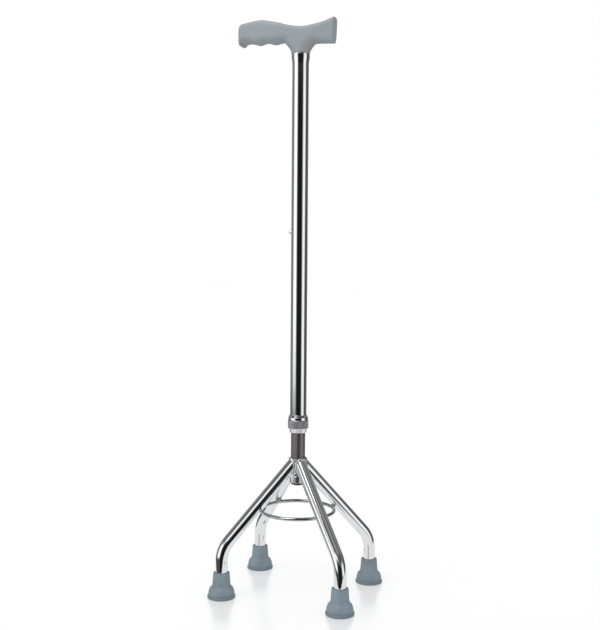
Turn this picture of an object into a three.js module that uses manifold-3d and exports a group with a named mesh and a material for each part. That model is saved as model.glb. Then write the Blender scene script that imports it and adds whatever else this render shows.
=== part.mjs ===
// Quad walking cane: a grip on a chromed upper tube, which telescopes over a lower tube
// that stands on a small base of four splayed tube legs with rubber tips.
// Millimetres, +Z up. The origin is on the floor, on the axis of the shaft.
// +X points to the nose of the grip, and the snap button is on the -X side.

import * as THREE from 'three';
import { mergeVertices } from 'three/addons/utils/BufferGeometryUtils.js';
import Module from 'manifold-3d';

const wasm = await Module();
wasm.setup();

// ---- Driving dimensions ------------------------------------------------------------

const GAP = 0.3;             // clearance left between neighbouring pieces
const ROUND = 24;            // sides of a round piece
const LEG_ROUND = 16;        // sides of a leg

const WALL = 1.2;            // wall of both shaft tubes
const UPPER_R = 11.1;        // upper tube, outside
const LOWER_R = UPPER_R - WALL - GAP;
const MOUTH_R = 12.2;        // flared mouth of the upper tube, outside
const MOUTH_TOP = 719;
const MOUTH_LENGTH = 4;      // straight part of the mouth
const FLARE_LENGTH = 8;      // cone below the mouth
const UPPER_BOTTOM = 221.5;
const LOWER_TOP = 510;
const LOWER_BOTTOM = 147;

const BUTTON_Z = 484;        // button and top hole, at the lowest height setting
const HOLE_PITCH = 25.4;
const HOLE_COUNT = 7;
const BUTTON_R = 3.9;
const BUTTON_REACH = 14.1;   // from the shaft axis to the tip of the button

const NECK_BOTTOM = MOUTH_TOP + 0.4;
const NECK_R = 12.4;
const SPIGOT_BOTTOM = 675;   // the part of the grip that is inside the tube
const SCREW_Z = 697;         // screw that holds the grip, on the +Y side

const FERRULE_TOP = 238.4;
const SHOULDER_Z = 232;      // where the cone of the ferrule ends and the nut begins
const THREAD_R = 12.4;
const NUT_R = 13.9;
const NUT_BOTTOM = 214.7;
const NUT_STEP_Z = 219.8;    // bottom of the knurled band
const FLUTES = 30;

const FOOT_X = 82.4;
const FOOT_Y = 65.15;
const FOOT_REACH = Math.hypot(FOOT_X, FOOT_Y);
const LEG_R = 8;
const LEG_WALL = 1.2;
const LEG_APEX_Z = 179.5;    // where the legs' centre lines meet on the shaft axis
const LEG_SLOPE = THREE.MathUtils.degToRad(48);
const LEG_BEND_R = 40;
const LEG_BEND_STEPS = 6;
const LEG_BOTTOM = 7.6;

const HUB_TOP = 179;
const HUB_BOTTOM = LOWER_BOTTOM;
const RIVET_Z = 158;         // rivet that holds the lower tube in the hub, on the -Y side
const PLUG_BOTTOM = 143.6;

const RING_R = 49.5;
const RING_WIRE_R = 2.25;
const RING_Z = 108.7;

const TIP_HEIGHT = 33.1;
const TIP_BASE_R = 18.55;
const SOCKET_R = LEG_R + GAP;
const WASHER_R = 7.4;
const WASHER_THICKNESS = 1.2;

// The grip's stations from tail to nose: x, top z, bottom z, half width.
// The bottom rises and falls through a tail lobe and three finger grooves.
const GRIP_STATIONS = [
  [-86.2, 760, 737.5, 10.5],
  [-84.8, 762.8, 735.6, 13],
  [-81.5, 764, 738.6, 13.7],
  [-77, 764.5, 739.8, 13.9],
  [-72, 765.2, 739.6, 14],
  [-66, 766.1, 737.8, 14],
  [-60.5, 766.7, 736.4, 14],
  [-54.5, 766.9, 737.9, 14],
  [-49, 766.3, 738.6, 14],
  [-43, 765, 736.8, 14],
  [-37.7, 763.7, 735.6, 14],
  [-32, 762.4, 736.7, 14],
  [-26.5, 760.9, 737.3, 13.9],
  [-19, 758.3, 736.8, 13.8],
  [-7, 755.5, 735, 13.6],
  [6, 753.9, 733, 13.2],
  [19, 755.4, 732.4, 12.3],
  [33, 758.2, 731.4, 10.7],
  [47.2, 763, 730, 8.8],
  [48.6, 762.6, 730.9, 7.8],
];
const GRIP_RINGS = 54;
const GRIP_SIDES = 16;
const GRIP_SQUARENESS = 3.2; // exponent of the section's superellipse: 2 is an oval

// The neck's stations from the tube up into the grip: z, half length in x, half width in y.
const NECK_STATIONS = [
  [NECK_BOTTOM, NECK_R, NECK_R],
  [722.5, 12.6, 12.5],
  [726.5, 14.6, 13],
  [730.5, 18, 13.4],
  [736, 23, 13],
];
const NECK_RINGS = 6;

// ---- Materials ---------------------------------------------------------------------

function chrome() {
  return new THREE.MeshStandardMaterial({ color: 0xd8dadd, roughness: 0.08, metalness: 1 });
}

function satinSteel() {
  return new THREE.MeshStandardMaterial({ color: 0x7a7076, roughness: 0.35, metalness: 1 });
}

function greyPlastic() {
  return new THREE.MeshStandardMaterial({ color: 0x98a0a4, roughness: 0.5, metalness: 0 });
}

function whiteNylon() {
  return new THREE.MeshStandardMaterial({ color: 0xe9e6da, roughness: 0.45, metalness: 0 });
}

function blackPlastic() {
  return new THREE.MeshStandardMaterial({ color: 0x26272a, roughness: 0.5, metalness: 0 });
}

function greyRubber() {
  return new THREE.MeshStandardMaterial({ color: 0x6e7d86, roughness: 0.75, metalness: 0 });
}

function springSteel() {
  return new THREE.MeshStandardMaterial({ color: 0xa8abb0, roughness: 0.3, metalness: 1 });
}

// ---- Geometry helpers --------------------------------------------------------------

// Six times the signed volume under one triangle.
function volumeTerm(positions, a, b, c) {
  const pa = new THREE.Vector3().fromBufferAttribute(positions, a);
  const pb = new THREE.Vector3().fromBufferAttribute(positions, b);
  const pc = new THREE.Vector3().fromBufferAttribute(positions, c);
  return pa.dot(pb.cross(pc));
}

// A geometry with shared vertices, no collapsed triangles, and its faces pointing out.
function closed(geometry) {
  geometry.deleteAttribute('normal');
  geometry.deleteAttribute('uv');
  const merged = mergeVertices(geometry);
  const positions = merged.getAttribute('position');
  const corners = merged.index.array;
  const kept = [];
  let volume = 0;
  for (let i = 0; i < corners.length; i += 3) {
    const [a, b, c] = corners.slice(i, i + 3);
    if (a === b || b === c || c === a) continue;
    kept.push(a, b, c);
    volume += volumeTerm(positions, a, b, c);
  }
  if (volume < 0) kept.reverse();
  merged.setIndex(kept);
  return merged;
}

function toSolid(geometry) {
  const skin = closed(geometry);
  const vertProperties = new Float32Array(skin.getAttribute('position').array);
  const triVerts = new Uint32Array(skin.index.array);
  return new wasm.Manifold(new wasm.Mesh({ numProp: 3, vertProperties, triVerts }));
}

function toGeometry(solid) {
  const mesh = solid.getMesh();
  const geometry = new THREE.BufferGeometry();
  geometry.setAttribute('position', new THREE.Float32BufferAttribute(mesh.vertProperties, 3));
  geometry.setIndex(Array.from(mesh.triVerts));
  return geometry;
}

function points2(pairs) {
  return pairs.map(([x, y]) => new THREE.Vector2(x, y));
}

// A closed profile of [radius, height] pairs turned about Z.
function revolve(profile, sides = ROUND) {
  const outline = points2([...profile, profile[0]]);
  return closed(new THREE.LatheGeometry(outline, sides).rotateX(Math.PI / 2));
}

// A plain cylinder along Z from one height to the other.
function rod(radius, low, high, sides = ROUND) {
  const geometry = new THREE.CylinderGeometry(radius, radius, high - low, sides);
  return geometry.rotateX(Math.PI / 2).translate(0, 0, (low + high) / 2);
}

// Turns a piece made along Z so that its +Z end points along -X, at a given height.
function aimMinusX(geometry, height) {
  return geometry.rotateY(-Math.PI / 2).translate(0, 0, height);
}

// Turns a piece made along Z so that its +Z end points along -Y or +Y, at a given height.
function aimY(geometry, sign, height) {
  return geometry.rotateX(-sign * Math.PI / 2).translate(0, 0, height);
}

function superellipse(angle, exponent) {
  const c = Math.cos(angle);
  const s = Math.sin(angle);
  const power = 2 / exponent;
  return [Math.sign(c) * Math.abs(c) ** power, Math.sign(s) * Math.abs(s) ** power];
}

// A closed skin through rings of superellipse sections. place(t, c, s) puts the point
// with section coordinates c and s, at the fraction t of the length.
function loft(rings, sides, exponent, place) {
  const geometry = new THREE.CylinderGeometry(1, 1, 1, sides, rings);
  const positions = geometry.getAttribute('position');
  for (let i = 0; i < positions.count; i++) {
    const x = positions.getX(i);
    const z = positions.getZ(i);
    const onRim = Math.hypot(x, z) > 0.5;
    const [c, s] = onRim ? superellipse(Math.atan2(z, x), exponent) : [0, 0];
    const point = place(positions.getY(i) + 0.5, c, s);
    positions.setXYZ(i, point.x, point.y, point.z);
  }
  return closed(geometry);
}

function column(stations, index) {
  return new THREE.SplineCurve(points2(stations.map((row) => [row[0], row[index]])));
}

function piece(name, geometry, material) {
  const mesh = new THREE.Mesh(geometry, material);
  mesh.name = name;
  return mesh;
}

// ---- Grip --------------------------------------------------------------------------

function gripBody() {
  const top = column(GRIP_STATIONS, 1);
  const bottom = column(GRIP_STATIONS, 2);
  const width = column(GRIP_STATIONS, 3);
  return loft(GRIP_RINGS, GRIP_SIDES, GRIP_SQUARENESS, (t, c, s) => {
    const high = top.getPoint(t);
    const low = bottom.getPoint(t);
    const middle = (high.y + low.y) / 2;
    const half = (high.y - low.y) / 2;
    return new THREE.Vector3(high.x, s * width.getPoint(t).y, middle + c * half);
  });
}

function gripNeck() {
  const along = column(NECK_STATIONS, 1);
  const across = column(NECK_STATIONS, 2);
  return loft(NECK_RINGS, ROUND, 2, (t, c, s) => {
    const length = along.getPoint(t);
    return new THREE.Vector3(c * length.y, s * across.getPoint(t).y, length.x);
  });
}

function gripSpigot() {
  const mouth = MOUTH_R - WALL - GAP;
  return revolve([
    [0, SPIGOT_BOTTOM],
    [LOWER_R, SPIGOT_BOTTOM],
    [LOWER_R, MOUTH_TOP - MOUTH_LENGTH - FLARE_LENGTH - 1],
    [mouth, MOUTH_TOP - MOUTH_LENGTH - 0.5],
    [mouth, NECK_BOTTOM + 2],
    [0, NECK_BOTTOM + 2],
  ]);
}

function handleGrip() {
  const screwHole = aimY(rod(2.4, 1, UPPER_R, 12), 1, SCREW_Z);
  const solid = toSolid(gripBody())
    .add(toSolid(gripNeck()))
    .add(toSolid(gripSpigot()))
    .subtract(toSolid(screwHole));
  return piece('handle_grip', toGeometry(solid), greyPlastic());
}

function handleScrew() {
  const seat = UPPER_R + GAP;
  const profile = [[0, 2], [2, 3.5], [2, seat], [3.6, seat], [3.2, seat + 1.4], [0, seat + 2]];
  return piece('handle_screw', aimY(revolve(profile, 16), 1, SCREW_Z), chrome());
}

// ---- Upper tube and its lock -------------------------------------------------------

function upperTube() {
  const coneTop = MOUTH_TOP - MOUTH_LENGTH;
  const coneBottom = coneTop - FLARE_LENGTH;
  let solid = toSolid(revolve([
    [UPPER_R, UPPER_BOTTOM],
    [UPPER_R, coneBottom],
    [MOUTH_R, coneTop],
    [MOUTH_R, MOUTH_TOP],
    [MOUTH_R - WALL, MOUTH_TOP],
    [MOUTH_R - WALL, coneTop],
    [UPPER_R - WALL, coneBottom],
    [UPPER_R - WALL, UPPER_BOTTOM],
  ]));
  for (let i = 0; i < HOLE_COUNT; i++) {
    const hole = aimMinusX(rod(BUTTON_R + 0.5, 2, 20, 16), BUTTON_Z - i * HOLE_PITCH);
    solid = solid.subtract(toSolid(hole));
  }
  const screwHole = aimY(rod(2.4, 5, 20, 12), 1, SCREW_Z);
  solid = solid.subtract(toSolid(screwHole));
  return piece('upper_tube', toGeometry(solid), chrome());
}

function threadedFerrule() {
  const bore = UPPER_R + GAP;
  const geometry = revolve([
    [bore, UPPER_BOTTOM],
    [THREAD_R, UPPER_BOTTOM],
    [THREAD_R, SHOULDER_Z],
    [NUT_R - 0.35, SHOULDER_Z],
    [NUT_R - 0.5, SHOULDER_Z + 3],
    [bore + 0.5, FERRULE_TOP],
    [bore, FERRULE_TOP],
  ]);
  return piece('threaded_ferrule', geometry, chrome());
}

// The knurled band: a star with one point per flute, with the thread bore through it.
function knurledBand(low, high, bore) {
  const shape = new THREE.Shape();
  for (let i = 0; i < 2 * FLUTES; i++) {
    const angle = Math.PI * i / FLUTES;
    const radius = i % 2 ? NUT_R - 0.45 : NUT_R;
    if (i) shape.lineTo(radius * Math.cos(angle), radius * Math.sin(angle));
    else shape.moveTo(radius, 0);
  }
  const hole = new THREE.Path().absarc(0, 0, bore, 0, 2 * Math.PI, true);
  shape.holes.push(hole);
  const settings = { depth: high - low, bevelEnabled: false, curveSegments: ROUND / 2 };
  return new THREE.ExtrudeGeometry(shape, settings).translate(0, 0, low);
}

function lockNut() {
  const bore = THREAD_R + GAP;
  const foot = revolve([
    [LOWER_R + 2 * GAP, NUT_BOTTOM],
    [NUT_R - 2.9, NUT_BOTTOM],
    [NUT_R - 1.7, NUT_STEP_Z],
    [NUT_R - 1.7, NUT_STEP_Z + 1],
    [11.5, NUT_STEP_Z + 1],
    [11.5, NUT_BOTTOM + 3],
    [10.7, NUT_BOTTOM + 1.3],
    [LOWER_R + 2 * GAP, NUT_BOTTOM + 1.3],
  ]);
  const web = revolve([
    [11.5, NUT_STEP_Z],
    [NUT_R - 1, NUT_STEP_Z],
    [NUT_R - 1, NUT_STEP_Z + 1.2],
    [11.5, NUT_STEP_Z + 1.2],
  ]);
  const band = knurledBand(NUT_STEP_Z, SHOULDER_Z - GAP, bore);
  const solid = toSolid(band).add(toSolid(web)).add(toSolid(foot));
  return piece('lock_nut', toGeometry(solid), chrome());
}

// A split ring that the nut squeezes onto the lower tube.
function colletBush() {
  const low = NUT_BOTTOM + 1.3 + GAP;
  const high = UPPER_BOTTOM - 2 * GAP;
  const ring = revolve([
    [LOWER_R + GAP, low],
    [10.3, low],
    [11.2, low + 1.6],
    [11.2, high],
    [LOWER_R + GAP, high],
  ]);
  const slit = new THREE.BoxGeometry(2, 8, 20).translate(0, 10.5, low + 3);
  return piece('collet_bush', toGeometry(toSolid(ring).subtract(toSolid(slit))), whiteNylon());
}

// ---- Snap button -------------------------------------------------------------------

function snapButton() {
  const flangeBack = 5.4;
  const flangeFront = 6.6;
  const domeStart = BUTTON_REACH - 1.6;
  const profile = [
    [0, flangeBack],
    [4.6, flangeBack],
    [4.6, flangeFront],
    [BUTTON_R, flangeFront],
    [BUTTON_R, domeStart],
    [BUTTON_R * 0.84, domeStart + 1],
    [BUTTON_R * 0.5, BUTTON_REACH - 0.15],
    [0, BUTTON_REACH],
  ];
  return piece('snap_button', aimMinusX(revolve(profile, 20), BUTTON_Z), chrome());
}

// A V of flat strip: one arm is behind the button, and the other bears on the far wall.
function buttonSpring() {
  const strip = 0.6;
  const bend = BUTTON_Z - 42;
  const shape = new THREE.Shape(points2([
    [-5.1, BUTTON_Z + 5],
    [-5.1, BUTTON_Z - 5],
    [-0.8, bend],
    [1.6, bend],
    [7.3, BUTTON_Z - 6],
    [7.3, BUTTON_Z + 2],
    [7.3 - strip, BUTTON_Z + 2],
    [7.3 - strip, BUTTON_Z - 6],
    [1.2, bend + strip],
    [-0.4, bend + strip],
    [-5.1 + strip, BUTTON_Z - 5],
    [-5.1 + strip, BUTTON_Z + 5],
  ]));
  const width = 7;
  const geometry = new THREE.ExtrudeGeometry(shape, { depth: width, bevelEnabled: false });
  geometry.rotateX(Math.PI / 2).translate(0, width / 2, 0);
  return piece('button_spring', closed(geometry), springSteel());
}

// ---- Lower tube and hub ------------------------------------------------------------

function tubeBetween(outer, inner, low, high) {
  return revolve([[inner, low], [outer, low], [outer, high], [inner, high]]);
}

function lowerTube() {
  const buttonHole = aimMinusX(rod(BUTTON_R + 0.4, 2, 20, 16), BUTTON_Z);
  const rivetHole = aimY(rod(2, 2, 20, 12), -1, RIVET_Z);
  const solid = toSolid(tubeBetween(LOWER_R, LOWER_R - WALL, LOWER_BOTTOM, LOWER_TOP))
    .subtract(toSolid(buttonHole))
    .subtract(toSolid(rivetHole));
  return piece('lower_tube', toGeometry(solid), satinSteel());
}

function hubSleeve() {
  const rivetHole = aimY(rod(2, 2, 20, 12), -1, RIVET_Z);
  const solid = toSolid(tubeBetween(UPPER_R, UPPER_R - WALL, HUB_BOTTOM, HUB_TOP))
    .subtract(toSolid(rivetHole));
  return piece('hub_sleeve', toGeometry(solid), chrome());
}

function hubRivet() {
  const seat = UPPER_R + GAP;
  const tail = 7.7;
  const profile = [
    [0, tail - 1.2],
    [2.2, tail - 1.2],
    [2.2, tail],
    [1.6, tail],
    [1.6, seat],
    [2.9, seat],
    [2.6, seat + 0.8],
    [1.4, seat + 1.3],
    [0, seat + 1.4],
  ];
  return piece('hub_rivet', aimY(revolve(profile, 16), -1, RIVET_Z), chrome());
}

function hubEndPlug() {
  const stem = LOWER_R - WALL - GAP;
  const geometry = revolve([
    [0, PLUG_BOTTOM],
    [7.6, PLUG_BOTTOM],
    [9.4, PLUG_BOTTOM + 1.2],
    [9.9, PLUG_BOTTOM + 2.4],
    [9.9, HUB_BOTTOM - GAP],
    [stem, HUB_BOTTOM - GAP],
    [stem, HUB_BOTTOM + 5],
    [0, HUB_BOTTOM + 5],
  ]);
  return piece('hub_end_plug', geometry, blackPlastic());
}

// ---- Legs, ring and tips -----------------------------------------------------------

// A leg's centre line in its own upright plane: a straight slope from the shaft axis,
// a round bend, and a straight upright end. Its parameter gives the slope and the
// upright end one step each, and the bend all the others.
class LegLine extends THREE.Curve {
  constructor(directionX, directionY) {
    super();
    this.direction = new THREE.Vector2(directionX, directionY).normalize();
    this.steps = LEG_BEND_STEPS + 2;
    this.turn = Math.PI / 2 - LEG_SLOPE;
    const tangentLength = LEG_BEND_R * Math.tan(this.turn / 2);
    const cornerZ = LEG_APEX_Z - FOOT_REACH * Math.tan(LEG_SLOPE);
    this.bendEndZ = cornerZ - tangentLength;
    this.centreReach = FOOT_REACH - LEG_BEND_R;
  }

  place(reach, height) {
    return new THREE.Vector3(this.direction.x * reach, this.direction.y * reach, height);
  }

  onBend(fraction) {
    const angle = this.turn * (1 - fraction);
    const reach = this.centreReach + LEG_BEND_R * Math.cos(angle);
    return this.place(reach, this.bendEndZ + LEG_BEND_R * Math.sin(angle));
  }

  getPoint(t) {
    const step = t * this.steps;
    const start = this.place(0, LEG_APEX_Z);
    const end = this.place(FOOT_REACH, LEG_BOTTOM);
    if (step < 1) return start.lerp(this.onBend(0), step);
    if (step > this.steps - 1) return this.onBend(1).lerp(end, step - this.steps + 1);
    return this.onBend((step - 1) / LEG_BEND_STEPS);
  }

  // Steps follow the parameter, not the length, so that the straights stay one step each.
  getUtoTmapping(u) {
    return u;
  }
}

function tubeSection() {
  const shape = new THREE.Shape().absarc(0, 0, LEG_R, 0, 2 * Math.PI, false);
  shape.holes.push(new THREE.Path().absarc(0, 0, LEG_R - LEG_WALL, 0, 2 * Math.PI, true));
  return shape;
}

// The top of each leg is cut to the round of the hub, and kept to its own quarter.
function leg(name, signX, signY) {
  const line = new LegLine(signX * FOOT_X, signY * FOOT_Y);
  const settings = { steps: line.steps, curveSegments: LEG_ROUND / 2, extrudePath: line };
  const tube = new THREE.ExtrudeGeometry(tubeSection(), settings);
  const side = 200;
  const quarter = new THREE.BoxGeometry(side, side, 2 * side).translate(
    signX * (side + GAP) / 2,
    signY * (side + GAP) / 2,
    0,
  );
  const solid = toSolid(tube)
    .intersect(toSolid(quarter))
    .subtract(toSolid(rod(UPPER_R + GAP, 100, 250)));
  return piece(name, toGeometry(solid), chrome());
}

function braceRing() {
  const profile = [];
  const sides = 8;
  for (let i = 0; i < sides; i++) {
    const angle = 2 * Math.PI * i / sides;
    profile.push([RING_R + RING_WIRE_R * Math.cos(angle), RING_Z + RING_WIRE_R * Math.sin(angle)]);
  }
  return piece('brace_ring', revolve(profile, 40), chrome());
}

function tip(name, x, y) {
  const washerTop = LEG_BOTTOM - GAP;
  const socketFloor = washerTop - WASHER_THICKNESS - GAP;
  const geometry = revolve([
    [0, 0],
    [TIP_BASE_R, 0],
    [TIP_BASE_R, 2.6],
    [17.4, 3.8],
    [17, 8],
    [15.4, 12.4],
    [12.6, 15.2],
    [12, 17.5],
    [10.8, TIP_HEIGHT],
    [SOCKET_R, TIP_HEIGHT],
    [SOCKET_R, socketFloor],
    [0, socketFloor],
  ]);
  const mesh = piece(name, geometry, greyRubber());
  mesh.position.set(x, y, 0);
  return mesh;
}

function washer(name, x, y) {
  const top = LEG_BOTTOM - GAP;
  const geometry = rod(WASHER_R, top - WASHER_THICKNESS, top, 20);
  const mesh = piece(name, geometry, springSteel());
  mesh.position.set(x, y, 0);
  return mesh;
}

// ---- Assembly ----------------------------------------------------------------------

const cane = new THREE.Group();
cane.add(handleGrip(), handleScrew(), upperTube(), threadedFerrule(), lockNut(), colletBush());
cane.add(snapButton(), buttonSpring(), lowerTube(), hubSleeve(), hubRivet(), hubEndPlug());
cane.add(braceRing());

for (const [corner, signX, signY] of [
  ['front_left', 1, 1],
  ['front_right', 1, -1],
  ['rear_left', -1, 1],
  ['rear_right', -1, -1],
]) {
  cane.add(leg(`leg_${corner}`, signX, signY));
  cane.add(tip(`tip_${corner}`, signX * FOOT_X, signY * FOOT_Y));
  cane.add(washer(`washer_${corner}`, signX * FOOT_X, signY * FOOT_Y));
}

export default cane;
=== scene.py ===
"""Looks of a quad walking cane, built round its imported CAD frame.

Shapes are worked out in millimetres, in the row frame, and every mesh is stored in metres.
"""

import itertools
import math

import bmesh
import bpy
import numpy as np
from mathutils import Matrix, Vector, noise


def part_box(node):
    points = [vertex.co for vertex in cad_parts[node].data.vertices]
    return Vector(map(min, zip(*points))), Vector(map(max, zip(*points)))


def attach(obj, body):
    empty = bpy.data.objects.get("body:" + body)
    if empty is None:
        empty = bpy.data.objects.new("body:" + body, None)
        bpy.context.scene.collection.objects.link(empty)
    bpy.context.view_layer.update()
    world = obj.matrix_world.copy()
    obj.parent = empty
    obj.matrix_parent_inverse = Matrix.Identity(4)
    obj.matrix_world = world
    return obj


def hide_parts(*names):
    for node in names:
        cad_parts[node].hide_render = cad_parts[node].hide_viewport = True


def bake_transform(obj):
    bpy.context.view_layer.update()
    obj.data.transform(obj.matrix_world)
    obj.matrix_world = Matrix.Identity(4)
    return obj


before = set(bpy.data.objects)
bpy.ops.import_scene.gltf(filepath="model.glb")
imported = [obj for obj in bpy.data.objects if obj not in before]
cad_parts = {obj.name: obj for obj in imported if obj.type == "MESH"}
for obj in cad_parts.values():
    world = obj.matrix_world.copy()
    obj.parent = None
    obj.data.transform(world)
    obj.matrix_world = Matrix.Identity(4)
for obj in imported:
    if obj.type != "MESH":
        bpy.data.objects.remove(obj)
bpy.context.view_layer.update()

MM = 0.001
TURN = 2 * math.pi


# ---- Camera ------------------------------------------------------------------------

CAMERA_DISTANCE = 1.1997     # from the shaft, metres
CAMERA_HEIGHT = 0.4227
CAMERA_AZIMUTH = math.radians(20.63)
CAMERA_PITCH = math.radians(2.38)
CAMERA_YAW = math.radians(0.07)
CAMERA_ROLL = math.radians(0.40)
LENS = 51.09                 # on a 36 mm sensor


def make_camera():
    """Stands to the right of the cane's flat side, at about half its height, a little tilted."""
    data = bpy.data.cameras.new("camera")
    data.lens = LENS
    data.sensor_width = 36.0
    camera = bpy.data.objects.new("camera", data)
    bpy.context.scene.collection.objects.link(camera)
    level = Matrix.Rotation(math.pi / 2 - CAMERA_PITCH, 4, "X")
    heading = Matrix.Rotation(CAMERA_AZIMUTH - CAMERA_YAW, 4, "Z")
    roll = Matrix.Rotation(CAMERA_ROLL, 4, "Z")
    place = Matrix.Translation((
        CAMERA_DISTANCE * math.sin(CAMERA_AZIMUTH),
        -CAMERA_DISTANCE * math.cos(CAMERA_AZIMUTH),
        CAMERA_HEIGHT,
    ))
    camera.matrix_world = place @ heading @ level @ roll
    bpy.context.scene.camera = camera


# ---- Sizes from the frame ----------------------------------------------------------

def node_box(node):
    """A CAD node's lowest and highest corners, in millimetres."""
    low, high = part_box(node)
    return low / MM, high / MM


def centre_of(node):
    low, high = node_box(node)
    return (low + high) / 2


WALL = 1.2                   # tube walls
EDGE = 0.3                   # small roundings on cut edges

UPPER_LOW, UPPER_HIGH = node_box("upper_tube")
LOWER_LOW, LOWER_HIGH = node_box("lower_tube")
HUB_LOW, HUB_HIGH = node_box("hub_sleeve")
GRIP_LOW = node_box("handle_grip")[0]
FERRULE_LOW, FERRULE_HIGH = node_box("threaded_ferrule")
NUT_LOW, NUT_HIGH = node_box("lock_nut")
TIP_LOW, TIP_HIGH = node_box("tip_front_left")
RING_LOW, RING_HIGH = node_box("brace_ring")
BUTTON_LOW, BUTTON_HIGH = node_box("snap_button")

HUB_R = HUB_HIGH.x
UPPER_R = HUB_R
MOUTH_R = UPPER_HIGH.x
MOUTH_LENGTH = 4.0
FLARE_LENGTH = 8.0
LOWER_R = LOWER_HIGH.x
BUTTON_Z = (BUTTON_LOW.z + BUTTON_HIGH.z) / 2
BUTTON_R = 3.9
HOLE_PITCH = 25.4
HOLE_COUNT = 7
SCREW_Z = centre_of("handle_screw").z
RIVET_Z = centre_of("hub_rivet").z

NUT_R = NUT_HIGH.x
NUT_STEP_Z = NUT_LOW.z + 5.1
THREAD_R = 12.4
THREAD_PITCH = 1.5

FOOT = centre_of("tip_front_left")
FOOT_REACH = math.hypot(FOOT.x, FOOT.y)
LEG_R = 8.0
LEG_APEX_Z = 179.5
LEG_SLOPE = math.radians(48)
LEG_BEND_R = 40.0
LEG_BOTTOM = 7.6
WIRE_FULLNESS = 1.04         # a round wire's height over that of the CAD wire, which has flats
RING_WIRE_R = (RING_HIGH.z - RING_LOW.z) / 2 * WIRE_FULLNESS
RING_R = RING_HIGH.x - RING_WIRE_R
RING_Z = (RING_LOW.z + RING_HIGH.z) / 2


# ---- Mesh helpers ------------------------------------------------------------------

def ring(radius, z, sides):
    """Points of a level circle about the Z axis."""
    angles = np.arange(sides) * TURN / sides
    return np.stack([radius * np.cos(angles), radius * np.sin(angles), np.full(sides, z)], 1)


def skin(rings, loop=False):
    """Vertices and quads through rings of equal length. With loop, the last joins the first."""
    count = len(rings)
    sides = len(rings[0])
    faces = []
    for i in range(count if loop else count - 1):
        j = (i + 1) % count
        for k in range(sides):
            m = (k + 1) % sides
            faces.append((i * sides + k, i * sides + m, j * sides + m, j * sides + k))
    return np.concatenate(rings), faces


def capped(rings):
    """A closed skin with a fan over each end."""
    points, faces = skin(rings)
    sides = len(rings[0])
    last = len(points) - sides
    first_centre = len(points)
    points = np.concatenate([points, [rings[0].mean(0)], [rings[-1].mean(0)]])
    for k in range(sides):
        m = (k + 1) % sides
        faces.append((m, k, first_centre))
        faces.append((last + k, last + m, first_centre + 1))
    return points, faces


def rounded(corners, steps=5):
    """A closed outline of (x, y, radius) corners as points, with an arc at each corner that has a radius."""
    points = []
    for i, (x, y, radius) in enumerate(corners):
        here = Vector((x, y))
        before = Vector(corners[i - 1][:2]) - here
        after = Vector(corners[(i + 1) % len(corners)][:2]) - here
        if radius <= 0:
            points.append((x, y))
            continue
        half = before.angle(after) / 2
        reach = min(radius / math.tan(half), before.length * 0.49, after.length * 0.49)
        start = here + before.normalized() * reach
        end = here + after.normalized() * reach
        for step in range(steps + 1):
            t = step / steps
            point = start.lerp(here, t).lerp(here.lerp(end, t), t)
            points.append((point.x, point.y))
    return points


def lathe(outline, sides):
    """A solid of revolution from a closed outline of (radius, z) points, which may touch the axis."""
    on_axis = [r < 1e-6 for r, z in outline]
    if not any(on_axis):
        return skin([ring(r, z, sides) for r, z in outline], loop=True)
    start = next(i for i in range(len(outline)) if on_axis[i] and not on_axis[(i + 1) % len(outline)])
    turned = outline[start:] + outline[:start]
    body = [(r, z) for r, z in turned if r >= 1e-6]
    ends = [z for r, z in turned if r < 1e-6]
    points, faces = skin([ring(r, z, sides) for r, z in body])
    tips = [(0, 0, ends[0]), (0, 0, ends[-1])]
    last = len(points) - sides
    first_tip = len(points)
    points = np.concatenate([points, tips])
    for k in range(sides):
        m = (k + 1) % sides
        faces.append((m, k, first_tip))
        faces.append((last + k, last + m, first_tip + 1))
    return points, faces


def block(low, high):
    """A box between two corners."""
    faces = [(0, 1, 3, 2), (4, 6, 7, 5), (0, 4, 5, 1), (2, 3, 7, 6), (0, 2, 6, 4), (1, 5, 7, 3)]
    return np.array(list(itertools.product(*zip(low, high))), float), faces


def aimed(points, direction, z):
    """Points made along +Z, turned so that +Z goes along a level direction, at height z."""
    turn = Vector((0, 0, 1)).rotation_difference(Vector(direction)).to_matrix()
    return np.asarray(points) @ np.array(turn).T + np.array([0, 0, z])


def make_mesh(name, points, faces, sharp_degrees=35):
    """A new object from points in millimetres, with smooth shading and sharp edges by angle."""
    mesh = bpy.data.meshes.new(name)
    mesh.from_pydata((np.asarray(points, float) * MM).tolist(), [], faces)
    work = bmesh.new()
    work.from_mesh(mesh)
    bmesh.ops.recalc_face_normals(work, faces=work.faces)
    work.to_mesh(mesh)
    work.free()
    smooth(mesh, sharp_degrees)
    made = bpy.data.objects.new(name, mesh)
    bpy.context.scene.collection.objects.link(made)
    return made


def smooth(mesh, sharp_degrees):
    mesh.shade_smooth()
    mesh.set_sharp_from_angle(angle=math.radians(sharp_degrees))


def keep_flats(target):
    """Weights normals by face size, so that wide faces stay flat beside small roundings."""
    target.modifiers.new("flats", "WEIGHTED_NORMAL").keep_sharp = True
    bake_modifiers(target)


def joined(parts):
    """Several (points, faces) pairs as one."""
    all_points = []
    all_faces = []
    offset = 0
    for points, faces in parts:
        all_points.append(np.asarray(points, float))
        all_faces.extend(tuple(i + offset for i in face) for face in faces)
        offset += len(points)
    return np.concatenate(all_points), all_faces


def bake_modifiers(target):
    """Replaces a mesh by what its modifiers make of it."""
    graph = bpy.context.evaluated_depsgraph_get()
    made = bpy.data.meshes.new_from_object(target.evaluated_get(graph))
    target.modifiers.clear()
    old = target.data
    target.data = made
    bpy.data.meshes.remove(old)


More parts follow.
